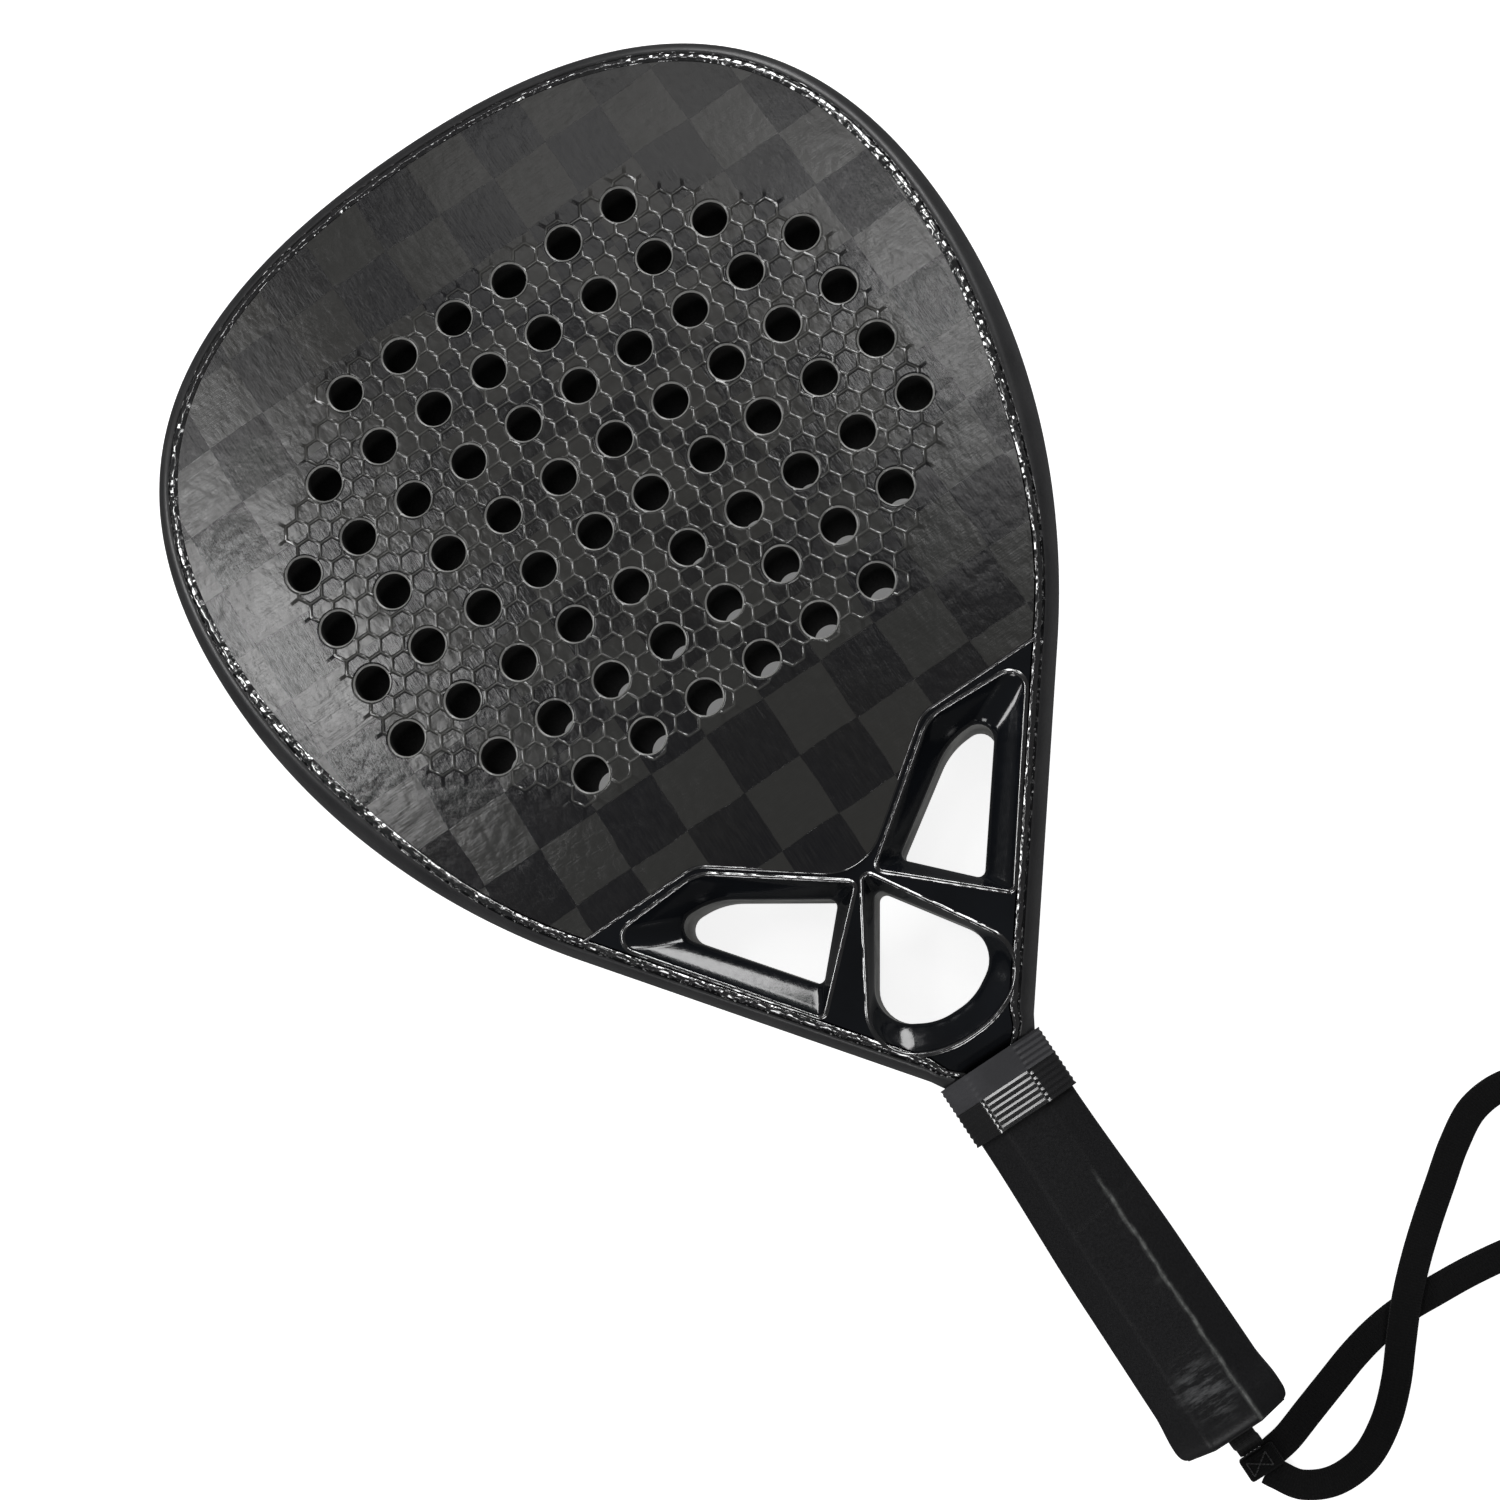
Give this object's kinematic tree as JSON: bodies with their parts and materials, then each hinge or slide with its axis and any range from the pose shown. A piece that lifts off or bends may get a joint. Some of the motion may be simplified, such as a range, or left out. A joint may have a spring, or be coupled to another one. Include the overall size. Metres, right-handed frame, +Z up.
{
  "type": "padel racket",
  "caption": "Teardrop padel racket with a drilled carbon face, windowed throat, wrapped handle, ribbed collar and a woven wrist strap.",
  "frame": {"origin": "under the middle of the racket, strap left out, on the plane it lies on", "axes": "+Z up and out of the front face, +Y from the butt to the head's tip, +X to the right"},
  "size_m": [0.2661, 0.4786, 0.038],
  "materials": {
    "rim_carbon": "satin clear-coated carbon tube",
    "throat_gloss": "high-gloss black lacquer over carbon",
    "face_carbon": "glossy clear coat over large-check carbon weave, honeycomb relief",
    "core_foam": "matt black EVA foam",
    "pallet_foam": "rigid foam",
    "grip_wrap": "smooth black polyurethane wrap",
    "collar_matte": "matt dark grey rubber",
    "collar_gloss": "glossy black ribbed rubber",
    "cap_plastic": "matt black moulding",
    "steel": "bright wire",
    "webbing": "woven black polyester webbing"
  },
  "bodies": {
    "racket": {"frame_tube": "rim_carbon", "throat_yoke": "throat_gloss", "foam_core": "core_foam", "front_face": "face_carbon", "rear_face": "face_carbon", "front_pallet": "pallet_foam", "rear_pallet": "pallet_foam", "base_grip": "grip_wrap", "collar_sleeve": "collar_matte", "collar_ring": "collar_gloss", "butt_cap": "cap_plastic", "front_staple": "steel", "rear_staple": "steel", "strap_pin": "steel", "strap_end_fold": "webbing"},
    "strap": {"strap_lead": "webbing", "strap_tab": "webbing", "wrist_strap": "webbing"}
  },
  "joints": [
    {"name": "strap_swing", "type": "hinge", "parent": "racket", "child": "strap", "pos_m": [0, -0.22, 0.019], "axis": [0, 0, 1], "range_deg": [-22, 22]}
  ]
}
